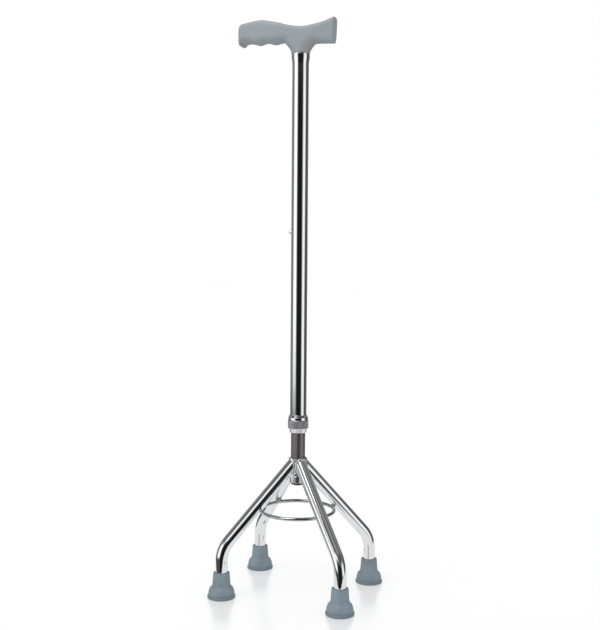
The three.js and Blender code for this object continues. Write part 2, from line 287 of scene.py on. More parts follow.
def carve(target, cutters, sharp_degrees=35):
    """Cuts the cutters, (points, faces) pairs, out of a mesh."""
    tool = make_mesh(target.name + "_cutter", *joined(cutters))
    cut = target.modifiers.new("cut", "BOOLEAN")
    cut.operation = "DIFFERENCE"
    cut.solver = "EXACT"
    cut.object = tool
    bake_modifiers(target)
    bpy.data.objects.remove(tool)
    smooth(target.data, sharp_degrees)


def true_round(target, radii):
    """Gives the walls of an upright round tube their exact normals, however a cut has split their faces."""
    mesh = target.data
    co = np.array([v.co for v in mesh.vertices]) / MM
    normals = np.array([n.vector for n in mesh.corner_normals])
    for face in mesh.polygons:
        if abs(face.normal.z) > 0.01:
            continue
        for index in face.loop_indices:
            x, y = co[mesh.loops[index].vertex_index][:2]
            reach = math.hypot(x, y)
            if min(abs(reach - r) for r in radii) > 0.05:
                break
            outward = 1 if face.normal.x * x + face.normal.y * y > 0 else -1
            along = abs(face.normal.x * x + face.normal.y * y) / reach
            if along > 0.9:
                normals[index] = (outward * x / reach, outward * y / reach, 0)
    mesh.normals_split_custom_set(normals.tolist())


def dress(target, material, body, slot, *nodes):
    """Gives a piece its material, the CAD body it rides on and the CAD nodes it stands for. The slot
    argument is not used.

    A piece that bends between two bodies has no body of its own here.
    """
    if not target.data.has_custom_normals:
        keep_flats(target)
    target.data.materials.clear()
    target.data.materials.append(material)
    if body:
        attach(target, body)
    if nodes:
        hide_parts(*nodes)
    return target


# ---- Materials ---------------------------------------------------------------------

class Nodes:
    """A node tree, with short ways to add and join its nodes."""

    def __init__(self, tree):
        self.tree = tree

    def add(self, kind, **settings):
        node = self.tree.nodes.new(kind)
        for key, value in settings.items():
            setattr(node, key, value)
        return node

    def link(self, output, entry):
        self.tree.links.new(output, entry)

    def math(self, operation, *values):
        node = self.add("ShaderNodeMath", operation=operation)
        for entry, value in zip(node.inputs, values):
            if isinstance(value, (int, float)):
                entry.default_value = value
            else:
                self.link(value, entry)
        return node.outputs["Value"]

    def ranged(self, value, low_in, high_in, low_out, high_out, smooth=False):
        """A value carried from one range to another, and kept inside it."""
        node = self.add("ShaderNodeMapRange", interpolation_type="SMOOTHSTEP" if smooth else "LINEAR")
        for name, number in zip(("From Min", "From Max", "To Min", "To Max"),
                                (low_in, high_in, low_out, high_out)):
            node.inputs[name].default_value = number
        self.link(value, node.inputs["Value"])
        return node.outputs["Result"]


class Shader(Nodes):
    """A material with a Principled shader, and short ways to feed it."""

    def __init__(self, name, colour, metallic, roughness):
        self.material = bpy.data.materials.new(name)
        self.material.use_nodes = True
        super().__init__(self.material.node_tree)
        self.principled = self.tree.nodes["Principled BSDF"]
        self.set("Base Color", (*colour, 1))
        self.set("Metallic", metallic)
        self.set("Roughness", roughness)
        self.coordinates = self.add("ShaderNodeTexCoord").outputs["Object"]

    def set(self, name, value):
        self.principled.inputs[name].default_value = value

    def noise(self, scale, detail=3.0, stretch=(1, 1, 1), roughness=0.5):
        """Noise with features about 1/scale metres across, stretched by axis."""
        mapping = self.add("ShaderNodeMapping")
        mapping.inputs["Scale"].default_value = stretch
        self.link(self.coordinates, mapping.inputs["Vector"])
        texture = self.add("ShaderNodeTexNoise")
        texture.inputs["Scale"].default_value = scale
        texture.inputs["Detail"].default_value = detail
        texture.inputs["Roughness"].default_value = roughness
        self.link(mapping.outputs["Vector"], texture.inputs["Vector"])
        return texture.outputs["Fac"]

    def colour_between(self, value, dark, light):
        node = self.add("ShaderNodeMix", data_type="RGBA")
        first, second = [entry for entry in node.inputs if entry.type == "RGBA"]
        first.default_value = (*dark, 1)
        second.default_value = (*light, 1)
        self.link(value, node.inputs["Factor"])
        return next(output for output in node.outputs if output.type == "RGBA")

    def paint(self, colour):
        self.link(colour, self.principled.inputs["Base Color"])

    def roughen(self, value):
        self.link(value, self.principled.inputs["Roughness"])

    def bump(self, height, distance, strength=1.0):
        """Raises the surface by height times distance, in metres."""
        node = self.add("ShaderNodeBump")
        node.inputs["Distance"].default_value = distance
        node.inputs["Strength"].default_value = strength
        self.link(height, node.inputs["Height"])
        self.link(node.outputs["Normal"], self.principled.inputs["Normal"])


def chrome_material(name, dulling=0, painted_shade_factor=1):
    """Bright plating: a little waviness, faint smudges and a few fine handling marks."""
    shader = Shader(name, (0.93, 0.935, 0.95), 1.0, 0.05 + dulling)
    smudge = shader.noise(38, detail=4)
    scuff = shader.noise(900, detail=2, stretch=(1, 1, 0.06))
    marks = shader.ranged(scuff, 0.62, 0.78, 0.0, 0.10)
    base = shader.ranged(smudge, 0.42, 0.75, 0.02 + dulling, 0.07 + 1.6 * dulling)
    shader.roughen(shader.math("ADD", base, marks))
    # A factor below 1 darkens the plating's colour: painted shade, used on the brace ring for its darker
    # reflections.
    dark, light = (Vector(colour) * painted_shade_factor for colour in ((0.90, 0.905, 0.92), (0.96, 0.965, 0.975)))
    shader.paint(shader.colour_between(smudge, dark, light))
    shader.bump(shader.noise(75, detail=1), 0.00006)
    return shader.material


def knurl_material():
    """Plating on the rough band, greyer than plain chrome and mottled darker and lighter at random."""
    shader = Shader("knurled_chrome", (0.5, 0.49, 0.5), 1.0, 0.25)
    grime = shader.noise(420, detail=3)
    shader.paint(shader.colour_between(grime, (0.30, 0.29, 0.31), (0.74, 0.725, 0.75)))
    shader.roughen(shader.ranged(grime, 0.3, 0.7, 0.2, 0.42))
    shader.bump(shader.noise(2600, detail=2), 0.00004)
    return shader.material


def satin_material():
    """Dull drawn steel, streaked lengthwise by its sliding fit."""
    shader = Shader("satin_steel", (0.2, 0.18, 0.19), 1.0, 0.4)
    broad = shader.noise(330, detail=3, stretch=(1, 1, 0.02))
    fine = shader.noise(2400, detail=2, stretch=(1, 1, 0.012))
    streak = shader.math("ADD", shader.math("MULTIPLY", broad, 0.65), shader.math("MULTIPLY", fine, 0.35))
    lightness = shader.ranged(streak, 0.36, 0.64, 0.0, 1.0)
    shader.paint(shader.colour_between(lightness, (0.225, 0.19, 0.205), (0.55, 0.49, 0.51)))
    shader.roughen(shader.ranged(streak, 0.35, 0.65, 0.42, 0.56))
    shader.bump(fine, 0.00003)
    return shader.material


def steel_material():
    """Rolled strip and plain washers."""
    shader = Shader("spring_steel", (0.5, 0.5, 0.52), 1.0, 0.3)
    cloud = shader.noise(180, detail=4)
    shader.paint(shader.colour_between(cloud, (0.38, 0.38, 0.4), (0.6, 0.6, 0.62)))
    shader.roughen(shader.ranged(cloud, 0.3, 0.7, 0.22, 0.42))
    shader.bump(shader.noise(1500, detail=2), 0.00002)
    return shader.material


def plastic_material(name, dark, light, roughness, grain, grain_height):
    """Moulded plastic: a faint cloudiness, a fine grain, and a gloss that varies with handling."""
    shader = Shader(name, light, 0.0, roughness)
    cloud = shader.noise(26, detail=4)
    shader.paint(shader.colour_between(shader.ranged(cloud, 0.3, 0.7, 0, 1), dark, light))
    shader.roughen(shader.ranged(cloud, 0.3, 0.7, roughness - 0.06, roughness + 0.08))
    shader.bump(shader.noise(grain, detail=2), grain_height)
    return shader.material


def rubber_material():
    """Matt rubber with a light bloom, darkened towards the floor: painted shade where the tip meets the
    floor.
    """
    shader = Shader("tip_rubber", (0.17, 0.21, 0.24), 0.0, 0.45)
    cloud = shader.noise(60, detail=5)
    split = shader.add("ShaderNodeSeparateXYZ")
    shader.link(shader.coordinates, split.inputs["Vector"])
    # Darker from 7.5 mm down to 2 mm above the floor: painted contact shade where the tip meets the floor.
    low = shader.ranged(split.outputs["Z"], 0.002, 0.0075, -1.1, 0.0)
    bloom_and_painted_shade = shader.math("ADD", shader.ranged(cloud, 0.3, 0.7, 0.25, 0.95), low)
    shader.paint(shader.colour_between(bloom_and_painted_shade, (0.150, 0.200, 0.235), (0.225, 0.292, 0.338)))
    shader.roughen(shader.ranged(cloud, 0.3, 0.7, 0.36, 0.56))
    shader.bump(shader.noise(1400, detail=3), 0.00006)
    return shader.material


# ---- Grip --------------------------------------------------------------------------

# Stations from tail to nose: x, top z, bottom z, half width.
GRIP_STATIONS = np.array([
    [-86.2, 762.8, 735.4, 13.4],
    [-84.8, 763.4, 735.2, 13.7],
    [-81.5, 764.0, 738.8, 13.9],
    [-77, 764.5, 739.8, 13.9],
    [-72, 765.2, 739.6, 14.0],
    [-66, 766.1, 737.8, 14.0],
    [-60.5, 766.7, 736.4, 14.0],
    [-54.5, 766.9, 737.9, 14.0],
    [-49, 766.3, 738.6, 14.0],
    [-43, 765.0, 736.8, 14.0],
    [-37.7, 763.7, 735.6, 14.0],
    [-32, 762.4, 736.7, 14.0],
    [-26.5, 760.9, 737.3, 13.9],
    [-19, 758.3, 736.8, 13.8],
    [-7, 755.5, 735.0, 13.6],
    [6, 753.9, 733.0, 13.2],
    [19, 755.4, 732.4, 12.3],
    [33, 758.2, 731.4, 10.7],
    [48.6, 763.6, 729.9, 8.7],
])
# Stations from the tube up into the grip: z, half length in x, half width in y.
NECK_STATIONS = np.array([
    [UPPER_HIGH.z + 0.4, 12.4, 12.4],
    [722.5, 12.6, 12.5],
    [726.5, 14.5, 13.0],
    [730.5, 17.8, 13.4],
    [734.5, 21.5, 13.5],
    [739, 24, 13.3],
    [743, 25.5, 12.4],
])
# Roundings where the sides, top and bottom meet an end face.
TAIL_ROUNDINGS = (3.8, 6.0, 1.6)
NOSE_ROUNDINGS = (1.5, 0.6, 1.8)
END_BULGE = 1.0              # how far the middle of each end face stands out
NOSE_LEAN = 1.6              # how far the nose's top edge is in front of its bottom edge
GRIP_SIDES = 80
GRIP_SQUARENESS = 4.6        # exponent of the section's superellipse: 2 is an oval
LOWER_SQUARENESS = 4.4       # the same for the lower half, over the neck
GRIP_VOXEL = 0.75
SPIGOT_GAP = 0.3
FILLET_Z = 732               # where the neck runs into the grip's underside
FLASH_HALF_WIDTH = 0.35
FLASH_HEIGHT = 0.09


def spline(rows, t):
    """The row at the fraction t of a smooth curve through the rows, one equal step apart."""
    place = min(max(t, 0.0), 1.0) * (len(rows) - 1)
    i = min(int(place), len(rows) - 2)
    u = place - i
    before = rows[max(i - 1, 0)]
    after = rows[min(i + 2, len(rows) - 1)]
    a, b = rows[i], rows[i + 1]
    return 0.5 * (
        2 * a + (b - before) * u
        + (2 * before - 5 * a + 4 * b - after) * u ** 2
        + (3 * a - before - 3 * b + after) * u ** 3
    )


def end_inset(distance, radius):
    """How far a rounded end draws the surface in, at a distance from the end face."""
    if distance >= radius:
        return 0.0
    return radius - math.sqrt(max(radius ** 2 - (radius - distance) ** 2, 0.0))


def signed_power(values, power):
    return np.sign(values) * np.abs(values) ** power


def grip_ring(station):
    """One section across the grip, drawn in near the two ends."""
    x, top, bottom, width = station
    tail = x - GRIP_STATIONS[0][0]
    nose = GRIP_STATIONS[-1][0] - x
    side_in, top_in, bottom_in = (
        max(end_inset(tail, a), end_inset(nose, b))
        for a, b in zip(TAIL_ROUNDINGS, NOSE_ROUNDINGS)
    )
    top -= top_in
    bottom += bottom_in
    angles = np.arange(GRIP_SIDES) * TURN / GRIP_SIDES
    over_neck = math.exp(-(x / 24) ** 4)
    lower = GRIP_SQUARENESS + (LOWER_SQUARENESS - GRIP_SQUARENESS) * over_neck
    power = np.where(np.cos(angles) < 0, 2 / lower, 2 / GRIP_SQUARENESS)
    up = signed_power(np.cos(angles), power)
    across = signed_power(np.sin(angles), power)
    lean = NOSE_LEAN * max(1 - nose / 20, 0) ** 2 * (1 - up) / 2
    return np.stack([
        x - lean,
        across * (width - side_in),
        (top + bottom) / 2 + up * (top - bottom) / 2,
    ], 1)


def bulged_end(edge, outward):
    """Rings that close an end with a slightly convex face, from the middle to the edge."""
    middle = edge.mean(0)
    rings = []
    for size in (0.08, 0.3, 0.55, 0.75, 0.9):
        inner = middle + (edge - middle) * size
        inner[:, 0] += outward * END_BULGE * (1 - size ** 2)
        rings.append(inner)
    return rings


def grip_skin():
    steps = (1 - np.cos(np.linspace(0, math.pi, 260))) / 2
    rings = [grip_ring(spline(GRIP_STATIONS, t)) for t in steps]
    return capped(bulged_end(rings[0], -1) + rings + bulged_end(rings[-1], 1)[::-1])


def neck_skin():
    angles = np.arange(GRIP_SIDES) * TURN / GRIP_SIDES
    rings = []
    for t in np.linspace(0, 1, 48):
        z, along, across = spline(NECK_STATIONS, t)
        power = 2 / (2 + 1.6 * t)
        rings.append(np.stack([
            along * signed_power(np.cos(angles), power),
            across * signed_power(np.sin(angles), power),
            np.full(GRIP_SIDES, z),
        ], 1))
    return capped(rings)


def spigot_skin():
    bore = MOUTH_R - WALL - SPIGOT_GAP
    cone_top = UPPER_HIGH.z - MOUTH_LENGTH
    return lathe(rounded([
        (0, GRIP_LOW.z, 0),
        (LOWER_R, GRIP_LOW.z, 1),
        (LOWER_R, cone_top - FLARE_LENGTH - 1, 0),
        (bore, cone_top - 0.5, 0),
        (bore, NECK_STATIONS[0][0] + 2, 0),
        (0, NECK_STATIONS[0][0] + 2, 0),
    ]), 64)


def soften(target, factor, repeats, group=None):
    """Smooths a mesh, everywhere or as a vertex group says."""
    modifier = target.modifiers.new("soften", "SMOOTH")
    modifier.factor = factor
    modifier.iterations = repeats
    if group:
        modifier.vertex_group = group


def weigh(target, name, weight_of):
    """Adds a vertex group with a weight worked out from each vertex's place in millimetres."""
    group = target.vertex_groups.new(name=name)
    for vertex in target.data.vertices:
        weight = weight_of(vertex.co / MM)
        if weight > 0:
            group.add([vertex.index], min(weight, 1.0), "REPLACE")


def near_fillet(place):
    """1 where the neck flows into the grip, falling to 0 round it."""
    height = 1 - abs(place.z - FILLET_Z) / 9
    side = 1 - max(abs(place.x) - 22, 0) / 10
    return max(min(height * 1.8, 1), 0) * max(min(side, 1), 0)


def add_parting_line(target):
    """A fine flash line where the two halves of the mould met, along the middle plane."""
    work = bmesh.new()
    work.from_mesh(target.data)
    for offset in (-FLASH_HALF_WIDTH, 0.0, FLASH_HALF_WIDTH):
        everything = work.verts[:] + work.edges[:] + work.faces[:]
        bmesh.ops.bisect_plane(
            work, geom=everything, plane_co=(0, offset * MM, 0), plane_no=(0, 1, 0), dist=1e-7,
        )
    work.normal_update()
    for vertex in work.verts:
        if abs(vertex.co.y) < 1e-6 and vertex.co.z > (NECK_STATIONS[0][0] + 0.5) * MM:
            vertex.co += vertex.normal * FLASH_HEIGHT * MM
    work.to_mesh(target.data)
    work.free()


def make_grip(material):
    grip = make_mesh("grip", *joined([grip_skin(), neck_skin(), spigot_skin()]))
    remesh = grip.modifiers.new("remesh", "REMESH")
    remesh.mode = "VOXEL"
    remesh.voxel_size = GRIP_VOXEL * MM
    bake_modifiers(grip)
    weigh(grip, "fillet", near_fillet)
    soften(grip, 0.5, 5)
    soften(grip, 0.5, 60, "fillet")
    bake_modifiers(grip)
    grip.vertex_groups.clear()
    add_parting_line(grip)
    smooth(grip.data, 60)
    dress(grip, material, "upper", "grip_plastic", "handle_grip")


def make_grip_screw(material):
    """A pan-head screw with a cross recess, on the far side of the tube."""
    seat = UPPER_R + 0.15
    points, faces = lathe(rounded([
        (0, 2, 0), (1.2, 2, 0.3), (2, 3.4, 0.3), (2, seat, 0),
        (3.6, seat, 0.2), (3.5, seat + 1.0, 0.9), (1.4, seat + 1.75, 2), (0, seat + 1.8, 0),
    ]), 64)
    screw = make_mesh("grip_screw", aimed(points, (0, 1, 0), SCREW_Z), faces)
    recess = seat + 0.7
    for along, across in ((1.9, 0.35), (0.35, 1.9)):
        box, sides = block((-along, -across, recess), (along, across, recess + 3))
        carve(screw, [(aimed(box, (0, 1, 0), SCREW_Z), sides)])
    dress(screw, material, "upper", "chrome", "handle_screw")


# ---- Tubes -------------------------------------------------------------------------

TUBE_SIDES = 144


def hole_cutter(radius, wall_outside, direction, z):
    """A round punch with a slight flare, so that the hole it cuts has a soft outer edge."""
    points, faces = lathe([
        (0, wall_outside - 3.5),
        (radius, wall_outside - 3.5),
        (radius, wall_outside - 0.25),
        (radius + 0.3, wall_outside + 0.1),
        (radius + 0.3, wall_outside + 5),
        (0, wall_outside + 5),
    ], 56)
    return aimed(points, direction, z), faces


def make_upper_tube(material):
    cone_top = UPPER_HIGH.z - MOUTH_LENGTH
    cone_low = cone_top - FLARE_LENGTH
    inner, mouth_inner = UPPER_R - WALL, MOUTH_R - WALL
    outline = rounded([
        (UPPER_R, UPPER_LOW.z, EDGE), (UPPER_R, cone_low, 40), (MOUTH_R, cone_top, 30),
        (MOUTH_R, UPPER_HIGH.z, 0.45), (mouth_inner, UPPER_HIGH.z, 0.3),
        (mouth_inner, cone_top, 30), (inner, cone_low, 40), (inner, UPPER_LOW.z, EDGE),
    ], 7)
    tube = make_mesh("shaft_upper_tube", *lathe(outline, TUBE_SIDES))
    heights = [BUTTON_Z - i * HOLE_PITCH for i in range(HOLE_COUNT)]
    cutters = [hole_cutter(BUTTON_R + 0.5, UPPER_R, (-1, 0, 0), z) for z in heights]
    cutters.append(hole_cutter(2.4, UPPER_R, (0, 1, 0), SCREW_Z))
    carve(tube, cutters)
    true_round(tube, (UPPER_R, inner))
    dress(tube, material, "upper", "chrome", "upper_tube")


def make_lower_tube(material):
    inner = LOWER_R - WALL
    outline = rounded([
        (LOWER_R, LOWER_LOW.z, EDGE), (LOWER_R, LOWER_HIGH.z, EDGE),
        (inner, LOWER_HIGH.z, EDGE), (inner, LOWER_LOW.z, EDGE),
    ])
    tube = make_mesh("shaft_lower_tube", *lathe(outline, TUBE_SIDES))
    carve(tube, [
        hole_cutter(BUTTON_R + 0.4, LOWER_R, (-1, 0, 0), BUTTON_Z),
        hole_cutter(2.0, LOWER_R, (0, -1, 0), RIVET_Z),
    ])
    true_round(tube, (LOWER_R, inner))
    dress(tube, material, "base", "satin_steel", "lower_tube")


def make_hub_sleeve(material):
    inner = HUB_R - WALL
    outline = rounded([
        (HUB_R, HUB_LOW.z, 0.5), (HUB_R, HUB_HIGH.z, 0.5),
        (inner, HUB_HIGH.z, EDGE), (inner, HUB_LOW.z, EDGE),
    ])
    sleeve = make_mesh("hub_tube", *lathe(outline, TUBE_SIDES))
    carve(sleeve, [hole_cutter(2.0, HUB_R, (0, -1, 0), RIVET_Z)])
    true_round(sleeve, (HUB_R, inner))
    dress(sleeve, material, "base", "chrome", "hub_sleeve")


# ---- Lock: ferrule, nut and split bush ---------------------------------------------

def triangle_wave(x):
    """0 at whole numbers, 1 halfway between them."""
    return 1 - abs(2 * (x - math.floor(x)) - 1)


def helix_rings(radius, depth, low, high, sides, spacing):
    """Rings of a screw thread's surface, upwards."""
    rings = []
    for z in np.arange(low, high, spacing):
        circle = ring(1, z, sides)
        fade = min(1, (z - low) / 0.8, (high - z) / 0.8)
        for k in range(sides):
            wave = triangle_wave((z / THREAD_PITCH) - k / sides)
            reach = radius - depth * fade * (1 - min(wave * 1.35, 1))
            circle[k][:2] *= reach
        rings.append(circle)
    return rings


def make_ferrule(material):
    """The bright cone on the tube's end, with the nut's thread under it."""
    sides = 96
    bore = UPPER_R + 0.15
    shoulder = NUT_HIGH.z + 0.3
    cone = rounded([
        (THREAD_R, shoulder, 0), (NUT_R - 0.35, shoulder, 0.25),
        (NUT_R - 0.5, shoulder + 3.0, 2.5), (bore + 0.5, FERRULE_HIGH.z, 0.4),
        (bore, FERRULE_HIGH.z, 0.1),
    ], 6)
    rings = helix_rings(THREAD_R, 0.6, FERRULE_LOW.z, shoulder, sides, 0.15)
    rings += [ring(r, z, sides) for r, z in cone]
    rings.append(ring(bore, FERRULE_LOW.z, sides))
    ferrule = make_mesh("lock_ferrule", *skin(rings, loop=True))
    dress(ferrule, material, "upper", "chrome", "threaded_ferrule")


KNURLS = 54
KNURL_DEPTH = 0.45
KNURL_SAMPLES = 8


def knurl_rings(radius, low, high):
    """Rings of a diamond knurl, downwards: two crossing sets of grooves, faded at the edges."""
    sides = KNURLS * KNURL_SAMPLES
    pitch = TURN * radius / KNURLS
    rings = []
    for z in np.arange(high, low, -pitch / KNURL_SAMPLES):
        circle = ring(1, z, sides)
        fade = min(1, (high - z) / 0.5, (z - low) / 0.5)
        for k in range(sides):
            turn = k / KNURL_SAMPLES
            crest = min(triangle_wave(turn + z / pitch), triangle_wave(turn - z / pitch))
            circle[k][:2] *= radius - KNURL_DEPTH * (1 - min(crest * 1.5, 1) * fade)
        rings.append(circle)
    return rings


def make_nut(band_material, ring_material):
    """A knurled band over a narrower smooth ring, bored for the thread."""
    sides = KNURLS * KNURL_SAMPLES
    foot_r = NUT_R - 1.7
    top, low = NUT_HIGH.z, NUT_LOW.z
    band = knurl_rings(NUT_R, NUT_STEP_Z + 0.5, top - 0.5)
    foot = rounded([
        (NUT_R - 0.6, NUT_STEP_Z, 0.3), (foot_r, NUT_STEP_Z, 0.2), (foot_r - 1.2, low, 0.5),
        (LOWER_R + 0.6, low, 0.3), (LOWER_R + 0.6, low + 1.3, 0), (10.7, low + 1.3, 0),
        (11.5, low + 3, 0), (11.5, NUT_STEP_Z + 1.2, 0), (THREAD_R + 0.3, NUT_STEP_Z + 1.2, 0),
        (THREAD_R + 0.3, top, 0.3), (NUT_R - 0.6, top, 0.3),
    ], 4)
    rings = band + [ring(r, z, sides) for r, z in foot]
    nut = make_mesh("lock_nut_knurled", *skin(rings, loop=True), sharp_degrees=50)
    dress(nut, band_material, "nut", "knurled_chrome", "lock_nut")
    nut.data.materials.append(ring_material)
    band_end = (len(band) - 1) * sides
    for face in nut.data.polygons:
        face.material_index = 0 if face.index < band_end else 1


def make_collet(material):
    low, high = node_box("collet_bush")
    bore = LOWER_R + 0.2
    outline = rounded([
        (bore, low.z, 0.2), (10.3, low.z, 0.3), (11.2, low.z + 1.6, 0.6),
        (11.2, high.z, 0.3), (bore, high.z, 0.2),
    ], 4)
    bush = make_mesh("lock_split_bush", *lathe(outline, 96))
    carve(bush, [block((-1, 8, low.z - 1), (1, 13, high.z + 1))])
    dress(bush, material, "collet", "nylon", "collet_bush")


# ---- Button and its spring ---------------------------------------------------------

def make_button(material):
    reach = -BUTTON_LOW.x
    points, faces = lathe(rounded([
        (0, 5.4, 0), (4.6, 5.4, 0.2), (4.6, 6.6, 0.3), (BUTTON_R, 6.6, 0.2),
        (BUTTON_R, reach - 1.5, 0), (BUTTON_R * 0.93, reach - 0.75, 1.4),
        (BUTTON_R * 0.62, reach - 0.12, 3), (0, reach, 0),
    ], 6), 72)
    button = make_mesh("snap_button_head", aimed(points, (-1, 0, 0), BUTTON_Z), faces)
    dress(button, material, "button", "chrome", "snap_button")


def rounded_path(corners, steps=6):
    """An open line of (x, y, radius) corners as points."""
    points = rounded([*corners, (corners[-1][0], corners[0][1] - 1000, 0)], steps)
    return points[:-1]


def make_spring(material):
    """A V of flat strip inside the lower tube, one arm on the button's side."""
    half_strip, half_width = 0.3, 3.5
    near_arm, far_arm = -4.8, 7.0
    bend = BUTTON_Z - 41.7
    path = np.array(rounded_path([
        (near_arm, BUTTON_Z + 5, 0), (near_arm, BUTTON_Z - 5, 10), (0.4, bend, 1.6),
        (far_arm, BUTTON_Z - 6, 10), (far_arm, BUTTON_Z + 2, 0),
    ]))
    rings = []
    for i, (x, z) in enumerate(path):
        along = path[min(i + 1, len(path) - 1)] - path[max(i - 1, 0)]
        along = along / np.linalg.norm(along)
        side = np.array([along[1], -along[0]]) * half_strip
        rings.append(np.array([
            [x + side[0] * a, half_width * b, z + side[1] * a]
            for a, b in ((1, 1), (1, -1), (-1, -1), (-1, 1))
        ]))
    spring = make_mesh("snap_button_spring", *capped(rings), sharp_degrees=50)
    dress(spring, material, None, "spring_steel", "button_spring")
    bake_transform(spring)


# ---- Hub pieces --------------------------------------------------------------------

def make_rivet(material):
    """A blind rivet: a domed head with the hole that its broken stem leaves."""
    seat = HUB_R + 0.1
    points, faces = lathe(rounded([
        (0, 6.5, 0), (2.2, 6.5, 0.4), (2.2, 7.7, 0.4), (1.6, 7.7, 0), (1.6, seat, 0),
        (2.9, seat, 0.15), (2.8, seat + 0.5, 0.5), (1.5, seat + 1.3, 1.2), (0.8, seat + 1.35, 0.2),
        (0.75, seat + 0.5, 0), (0, seat + 0.45, 0),
    ]), 64)
    rivet = make_mesh("hub_blind_rivet", aimed(points, (0, -1, 0), RIVET_Z), faces)
    dress(rivet, material, "base", "chrome", "hub_rivet")


def make_plug(material):
    low, high = node_box("hub_end_plug")
    stem = LOWER_R - WALL - 0.1
    rim = HUB_LOW.z - 0.15
    outline = rounded([
        (0, low.z + 0.5, 0), (2.2, low.z + 0.5, 0.3), (2.6, low.z, 0.3), (7.4, low.z, 1.2),
        (9.4, low.z + 1.2, 1.0), (9.9, low.z + 2.3, 0.5), (9.9, rim, 0.2), (stem, rim, 0.2),
        (stem, high.z, 0.6), (0, high.z, 0),
    ])
    plug = make_mesh("hub_plug", *lathe(outline, 96))
    dress(plug, material, "base", "black_plastic", "hub_end_plug")


# ---- Legs, welds and ring ----------------------------------------------------------

LEG_SIDES = 72
CORNERS = {
    "front_left": (1, 1), "front_right": (1, -1), "rear_left": (-1, 1), "rear_right": (-1, -1),
}


class Leg:
    """The centre line of a leg: a slope from the shaft axis, a round bend and an upright end."""

    def __init__(self, sign_x, sign_y):
        self.signs = (sign_x, sign_y)
        out = np.array([sign_x * FOOT.x, sign_y * FOOT.y, 0]) / FOOT_REACH
        self.out = out
        self.side = np.array([-out[1], out[0], 0])
        self.slope = out * math.cos(LEG_SLOPE) - np.array([0, 0, math.sin(LEG_SLOPE)])
        self.apex = np.array([0, 0, LEG_APEX_Z])
        turn = math.pi / 2 - LEG_SLOPE
        self.turn = turn
        corner_z = LEG_APEX_Z - FOOT_REACH * math.tan(LEG_SLOPE)
        self.bend_end_z = corner_z - LEG_BEND_R * math.tan(turn / 2)
        self.bend_start = self.on_bend(0)[0]

    def on_bend(self, fraction):
        """A point on the bend and the direction of the tube there."""
        angle = self.turn * (1 - fraction)
        reach = FOOT_REACH - LEG_BEND_R + LEG_BEND_R * math.cos(angle)
        point = self.out * reach + [0, 0, self.bend_end_z + LEG_BEND_R * math.sin(angle)]
        return point, self.out * math.sin(angle) - np.array([0, 0, math.cos(angle)])

    def section(self, point, direction, radius):
        up = np.cross(self.side, direction)
        angles = np.arange(LEG_SIDES) * TURN / LEG_SIDES
        around = np.outer(np.cos(angles), self.side) + np.outer(np.sin(angles), up)
        return point + radius * around

    def cut_top(self, radius):
        """The tube's end ring, where each line along the tube meets the hub or a neighbour's plane."""
        start = self.section(self.apex, self.slope, radius)
        ends = []
        a = self.slope[0] ** 2 + self.slope[1] ** 2
        for x, y, z in start:
            b = 2 * (x * self.slope[0] + y * self.slope[1])
            c = x * x + y * y - (HUB_R + 0.05) ** 2
            meets_hub = (-b + math.sqrt(max(b * b - 4 * a * c, 0))) / (2 * a)
            meets_x = (0.05 * self.signs[0] - x) / self.slope[0]
            meets_y = (0.05 * self.signs[1] - y) / self.slope[1]
            ends.append(np.array([x, y, z]) + self.slope * max(meets_hub, meets_x, meets_y))
        return np.array(ends)

    def rings(self, radius):
        """Rings of the tube's surface from the hub to the foot."""
        top = self.cut_top(radius)
        bend = self.section(self.bend_start, self.slope, radius)
        rings = [top + (bend - top) * t for t in np.linspace(0, 1, 9)[:-1]]
        for t in np.linspace(0, 1, 29):
            rings.append(self.section(*self.on_bend(t), radius))
        foot = rings[-1].copy()
        foot[:, 2] = LEG_BOTTOM
        return rings + [foot]


def make_leg(corner, material):
    leg = Leg(*CORNERS[corner])
    rings = leg.rings(LEG_R) + leg.rings(LEG_R - WALL)[::-1]
    made = make_mesh("base_leg_" + corner, *skin(rings, loop=True), sharp_degrees=40)
    dress(made, material, "base", "chrome", "leg_" + corner)
    return leg


def bead(path, radius, outward, seed):
    """A weld bead round a closed line of points, rippled as the torch left it."""
    count = len(path)
    rings = []
    for i in range(count):
        along = path[(i + 1) % count] - path[i - 1]
        along /= np.linalg.norm(along)
        out = outward[i] - along * np.dot(outward[i], along)
        out /= np.linalg.norm(out)
        across = np.cross(along, out)
        ripple = 0.10 * math.sin(i * TURN / 3.0) + 0.22 * noise.noise(Vector((i * 0.11, seed, 0)))
        size = radius * (1 + ripple)
        angles = np.arange(14) * TURN / 14
        rings.append(path[i] + size * (np.outer(np.cos(angles), out) * 0.8
                                       + np.outer(np.sin(angles), across) * 1.25))
    return skin(rings, loop=True)


def resampled(path, count):
    """A closed line of points at equal steps."""
    closed = np.concatenate([path, path[:1]])
    lengths = np.concatenate([[0], np.cumsum(np.linalg.norm(np.diff(closed, axis=0), axis=1))])
    wanted = np.arange(count) * lengths[-1] / count
    return np.stack([np.interp(wanted, lengths, closed[:, k]) for k in range(3)], 1)


def make_hub_welds(legs, material):
    parts = []
    for number, leg in enumerate(legs):
        line = resampled(leg.cut_top(LEG_R), 220)
        from_hub = line * [1, 1, 0]
        from_hub /= np.linalg.norm(from_hub, axis=1)[:, None]
        along = (line - leg.apex) @ leg.slope
        from_leg = (line - leg.apex - np.outer(along, leg.slope)) / LEG_R
        outward = from_hub + from_leg
        parts.append(bead(line + 0.1 * outward, 1.25, outward, number * 7.3))
    welds = make_mesh("hub_weld_beads", *joined(parts), sharp_degrees=80)
    dress(welds, material, "base", "chrome")


